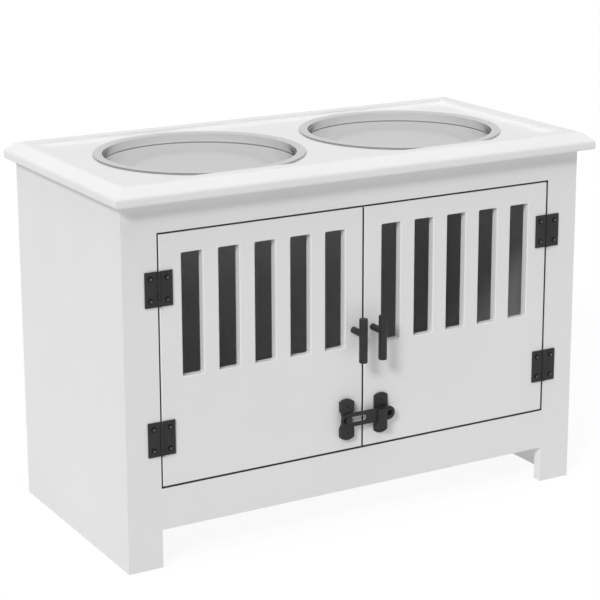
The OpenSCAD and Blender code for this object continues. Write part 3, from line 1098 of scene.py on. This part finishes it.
@dataclass
class Pull(Assembly):
    """A round bar on a short post."""

    side: Side
    bar_edge: float = 0.8 * MM
    post_edge: float = 0.25 * MM
    end_steps: int = 5
    sides: int = 48

    def build(self) -> None:
        """Turns the bar with rounded ends, and coats it and its post."""
        node = f"pull_bar_{self.side}"
        low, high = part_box(node)
        axis = Vector(((low.x + high.x) / 2, (low.y + high.y) / 2, low.z))
        radius, length, edge = (high.x - low.x) / 2, high.z - low.z, self.bar_edge
        profile = [
            (0.0, 0.0),
            *arc((radius - edge, edge), (edge, edge), -90.0, 0.0, self.end_steps),
            *arc((radius - edge, length - edge), (edge, edge), 0.0, 90.0, self.end_steps),
            (0.0, length),
        ]
        self.shop.release(turned(f"turned_{node}", profile, axis, self.sides), self.finishes.black, node)
        self.coat(f"pull_post_{self.side}", self.post_edge)


@dataclass
class SlideLatch(Assembly):
    """The door latch: base, rivet, slotted arm, and the keeper with its arched hook."""

    plate_edge: float = 0.8 * MM
    keeper_edge: float = 0.45 * MM
    arm_edge: float = 0.4 * MM
    rivet_edge: float = 0.2 * MM

    def build(self) -> None:
        """Rounds and coats the latch."""
        self.coat("latch_base", self.plate_edge, steps=3)
        self.coat("latch_keeper", self.keeper_edge)
        self.coat("latch_arm", self.arm_edge)
        self.coat("latch_rivet", self.rivet_edge)


@dataclass(frozen=True)
class ScrewSize:
    """Sizes of a screw: head width and height, shank width and length, and span of the recess."""

    head: float
    dome: float
    shank: float
    length: float
    span: float


@dataclass
class ScrewSet:
    """Cross-head screws that stand for one node, made by a Geometry Nodes recipe."""

    shop: Workshop
    node: str
    facing: Facing
    size: ScrewSize
    seed: int

    @staticmethod
    def recipe() -> GeometryRecipe:
        """Writes the recipe of a domed head with a cross recess on a shank, at each point.

        Returns:
            The recipe.
        """
        dome_faces, sides = {"Segments": 32, "Rings": 16}, 20
        rise = 0.4  # share of the head's height that the shank fills
        narrow, sunken = 0.24, 0.5  # width and depth of the recess, as shares of its span
        recipe = GeometryRecipe("cross_head_screws")
        head, dome = recipe.ask("Head Diameter"), recipe.ask("Head Height")
        shank, length = recipe.ask("Shank Diameter"), recipe.ask("Shank Length")
        span, facing = recipe.ask("Recess Span"), recipe.ask("Facing", "Vector")
        seed, material = recipe.ask("Seed", "Int"), recipe.ask("Coat", "Material")
        radius = recipe.math("MULTIPLY", head, 0.5)
        ball = recipe.add("GeometryNodeMeshUVSphere", {**dome_faces, "Radius": 1.0})
        bulge = recipe.moved(ball, Scale=recipe.triple(radius, radius, dome))
        wide, tall = recipe.math("MULTIPLY", head, 2.0), recipe.math("MULTIPLY", dome, 2.0)
        under = recipe.triple(z=recipe.math("MULTIPLY", dome, -1.0))
        cap = recipe.cut(bulge, [recipe.block(recipe.triple(wide, wide, tall), under)])
        core, half = recipe.math("MULTIPLY", shank, 0.5), recipe.math("MULTIPLY", length, 0.5)
        rod = recipe.add("GeometryNodeMeshCylinder", {"Vertices": sides, "Radius": core, "Depth": length})
        sunk = recipe.math("SUBTRACT", recipe.math("MULTIPLY", dome, rise), half)
        stem = recipe.moved(rod, Translation=recipe.triple(z=sunk))
        bar, deep = recipe.math("MULTIPLY", span, narrow), recipe.math("MULTIPLY", span, sunken)
        level = recipe.triple(z=dome)
        recess = [recipe.block(recipe.triple(x, y, deep), level) for x, y in ((span, bar), (bar, span))]
        screw = recipe.cut(recipe.cut(cap, [stem], "UNION"), recess)
        aim = recipe.add("FunctionNodeAlignRotationToVector", {"Vector": facing}, axis="Z").outputs[0]
        turn = recipe.add("FunctionNodeRandomValue", {"Max": math.pi / 2, "Seed": seed}, data_type="FLOAT")
        angle = next(s for s in turn.outputs if s.enabled)
        about = {"Axis": (0.0, 0.0, 1.0), "Angle": angle}
        spin = recipe.add("FunctionNodeAxisAngleToRotation", about).outputs[0]
        both = {"Rotation": aim, "Rotate By": spin}
        rotation = recipe.add("FunctionNodeRotateRotation", both, rotation_space="LOCAL").outputs[0]
        each = {"Points": recipe.entry.outputs["Geometry"], "Instance": screw, "Rotation": rotation}
        recipe.close(recipe.add("GeometryNodeInstanceOnPoints", each).outputs[0], material)
        return recipe

    def seats(self) -> list[Vector]:
        """Finds where the screws go from the solids of the node.

        Returns:
            The point under each head.
        """
        toward = Vector(self.facing.value)
        places = []
        for low, high in self.shop.islands(self.node):
            centre = (low + high) / 2
            reach = sum(abs(toward[i]) * (high[i] - low[i]) for i in range(3)) / 2
            places.append(centre + toward * (reach - self.size.dome))
        return places

    def build(self, recipe: GeometryRecipe, coat: Material) -> None:
        """Drives the screws.

        Args:
            recipe: the shared recipe.
            coat: their finish.
        """
        values = {
            "Head Diameter": self.size.head,
            "Head Height": self.size.dome,
            "Shank Diameter": self.size.shank,
            "Shank Length": self.size.length,
            "Recess Span": self.size.span,
            "Facing": Vector(self.facing.value),
            "Seed": self.seed,
            "Coat": coat,
        }
        mesh = recipe.run(f"cross_{self.node}", self.seats(), values)
        smooth(mesh, HEAD_ANGLE)
        self.shop.release(mesh, coat, self.node)


def drive_screws(shop: Workshop, finishes: Finishes) -> None:
    """Makes every set of screws on the stand.

    Args:
        shop: the workshop.
        finishes: the finishes.
    """
    recipe = ScrewSet.recipe()
    front, back, down = Facing.FRONT, Facing.BACK, Facing.DOWN
    small, coat, zinc = finishes.screw_black, finishes.black, finishes.zinc
    leaf = ScrewSize(5.8 * MM, 1.7 * MM, 3.0 * MM, 8.0 * MM, 2.0 * MM)
    plate = ScrewSize(6.2 * MM, 0.3 * MM, 3.0 * MM, 8.0 * MM, 3.6 * MM)
    pull = ScrewSize(8.0 * MM, 2.0 * MM, 4.0 * MM, 9.0 * MM, 4.6 * MM)
    sheet = ScrewSize(6.0 * MM, 1.6 * MM, 2.4 * MM, 14.0 * MM, 3.4 * MM)
    cleat = ScrewSize(7.5 * MM, 2.2 * MM, 3.5 * MM, 28.0 * MM, 4.2 * MM)
    sets = [
        ("frame_leaf_screws", front, leaf, small),
        ("door_leaf_screws_left", front, leaf, small),
        ("door_leaf_screws_right", front, leaf, small),
        ("latch_base_screws", front, plate, coat),
        ("latch_keeper_screws", front, plate, coat),
        ("pull_screw_left", back, pull, zinc),
        ("pull_screw_right", back, pull, zinc),
        ("back_screws", back, sheet, zinc),
        ("cleat_screws", down, cleat, zinc),
    ]
    for seed, (node, facing, size, finish) in enumerate(sets, start=FIRST_SEED):
        ScrewSet(shop, node, facing, size, seed).build(recipe, finish)


@dataclass(frozen=True)
class Lamp:
    """A far, broad lamp: its strength, the way its light goes, and its apparent width in degrees."""

    name: str
    strength: float
    toward: Point
    spread: float

    def hang(self) -> None:
        """Puts the lamp in the scene, where only matt surfaces answer to it."""
        data = bpy.data.lights.new(self.name, "SUN")
        data.energy = self.strength
        data.angle = math.radians(self.spread)
        lamp = placed(self.name, data)
        lamp.rotation_mode = "QUATERNION"
        lamp.rotation_quaternion = Vector(self.toward).to_track_quat("-Z", "Y")
        lamp.visible_glossy = False


@dataclass
class Studio:
    """White studio: pale floor, even sky, two broad lamps, a reflector, and the camera."""

    lamps: tuple[Lamp, ...] = (
        Lamp("key", 1.68, (1.36, 1.0, -1.10), 13.0),
        Lamp("overhead", 1.72, (0.05, 0.05, -1.0), 60.0),
    )
    sky: float = 0.22
    dome_radius: float = 12.0
    dome_tone: float = 0.655
    dome_rounds: int = 5
    floor_half: float = 14.0
    floor_rough: float = 0.9
    floor_tone: float = 0.25
    floor_bounce: float = 0.56
    floor_glow: float = 0.90
    floor_shadow: float = 0.10
    camera_at: Point = (-1.0697, -1.8422, 0.8319)
    camera_turn: float = 30.014
    camera_down: float = 14.042
    camera_roll: float = -0.161
    lens: float = 115.27
    lift: float = -0.10

    def light(self) -> None:
        """Sets the sky and hangs the lamps."""
        world = bpy.data.worlds.new("studio")
        bpy.context.scene.world = world
        world.use_nodes = True
        graph = Graph(world.node_tree)
        path = graph.add("ShaderNodeLightPath").outputs
        seen = path["Is Camera Ray"]
        for name in ("Is Glossy Ray", "Is Transmission Ray"):
            seen = graph.math("MAXIMUM", seen, path[name])
        strength = graph.add("ShaderNodeMapRange", {"Value": seen, "To Min": self.sky, "To Max": 1.0})
        sky = world.node_tree.nodes["Background"]
        sky.inputs["Color"].default_value = WHITE
        graph.feed(sky.inputs["Strength"], strength.outputs["Result"])
        for lamp in self.lamps:
            lamp.hang()

    def reflector(self) -> None:
        """Raises a pale half-dome that only glossy faces see, so that the steel stays an even grey."""
        work = bmesh.new()
        bmesh.ops.create_icosphere(work, subdivisions=self.dome_rounds, radius=self.dome_radius)
        below = [v for v in work.verts if v.co.z < 0.0]
        bmesh.ops.delete(work, geom=below, context="VERTS")
        dome = bpy.data.meshes.new("studio_dome")
        work.to_mesh(dome)
        work.free()
        surface = placed("studio_dome", dome)
        for kind in ("camera", "diffuse", "transmission", "volume_scatter", "shadow"):
            setattr(surface, f"visible_{kind}", False)
        graph = MaterialGraph("studio_dome")
        graph.material.cycles.emission_sampling = "NONE"
        graph.show(graph.add("ShaderNodeEmission", {"Strength": self.dome_tone}).outputs[0])
        dome.materials.append(graph.material)

    def floor(self) -> None:
        """Lays the pale floor, which the camera sees as white with the stand's soft shadow."""
        half = self.floor_half
        verts = [(x * half, y * half, 0.0) for x, y in ((-1, -1), (1, -1), (1, 1), (-1, 1))]
        mesh = bpy.data.meshes.new("studio_floor")
        mesh.from_pydata(verts, [], [(0, 1, 2, 3)])
        graph = MaterialGraph("studio_floor")
        graph.dress({"Base Color": grey(self.floor_tone), "Roughness": self.floor_rough})
        graph.dress({"Specular IOR Level": 0.0})
        graph.dress({"Emission Color": WHITE, "Emission Strength": self.floor_bounce})
        shade = graph.add("ShaderNodeBsdfDiffuse", {"Color": grey(self.floor_shadow)})
        glow = graph.add("ShaderNodeEmission", {"Strength": self.floor_glow})
        shown = graph.add("ShaderNodeAddShader", {0: shade.outputs[0], 1: glow.outputs[0]})
        seen = graph.add("ShaderNodeLightPath").outputs["Is Camera Ray"]
        inputs = {0: seen, 1: graph.surface.outputs[0], 2: shown.outputs[0]}
        graph.show(graph.add("ShaderNodeMixShader", inputs).outputs[0])
        mesh.materials.append(graph.material)
        placed("studio_floor", mesh)

    def camera(self) -> None:
        """Places the camera where the photograph was taken from."""
        turn, down, roll = (math.radians(a) for a in (self.camera_turn, self.camera_down, self.camera_roll))
        ahead = Vector((math.sin(turn) * math.cos(down), math.cos(turn) * math.cos(down), -math.sin(down)))
        right = Vector((math.cos(turn), -math.sin(turn), 0.0))
        up = right.cross(ahead)
        level = Matrix((right, up, -ahead)).transposed().to_4x4()
        data = bpy.data.cameras.new("camera")
        data.lens = self.lens
        data.shift_y = self.lift
        camera = placed("camera", data)
        camera.matrix_world = Matrix.Translation(self.camera_at) @ level @ Matrix.Rotation(roll, 4, "Z")
        bpy.context.scene.camera = camera
        bpy.context.scene.view_settings.view_transform = "Standard"


def main() -> None:
    """Builds every sub-assembly round the frame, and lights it."""
    logging.basicConfig(level=logging.INFO, format="%(message)s")
    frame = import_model()
    shop = Workshop(frame)
    finishes = Finishes.mixed()
    Carcass(shop, finishes).build()
    FramedTop(shop, finishes).build()
    Hinges(shop, finishes).build()
    SlideLatch(shop, finishes).build()
    door = SlottedDoor.recipe()
    # grey(0.42) is the painted shade of the bowls' crease and lip rings
    steel = SpunSteel("spun_stainless_steel", (0.95, 0.95, 0.952, 1.0), grey(0.42))
    for side in Side:
        SlottedDoor(shop, finishes, side).build(door)
        Pull(shop, finishes, side).build()
        FeedBowl(shop, side).build(steel)
    drive_screws(shop, finishes)
    studio = Studio()
    studio.light()
    studio.reflector()
    studio.floor()
    studio.camera()


if __name__ == "__main__":
    main()
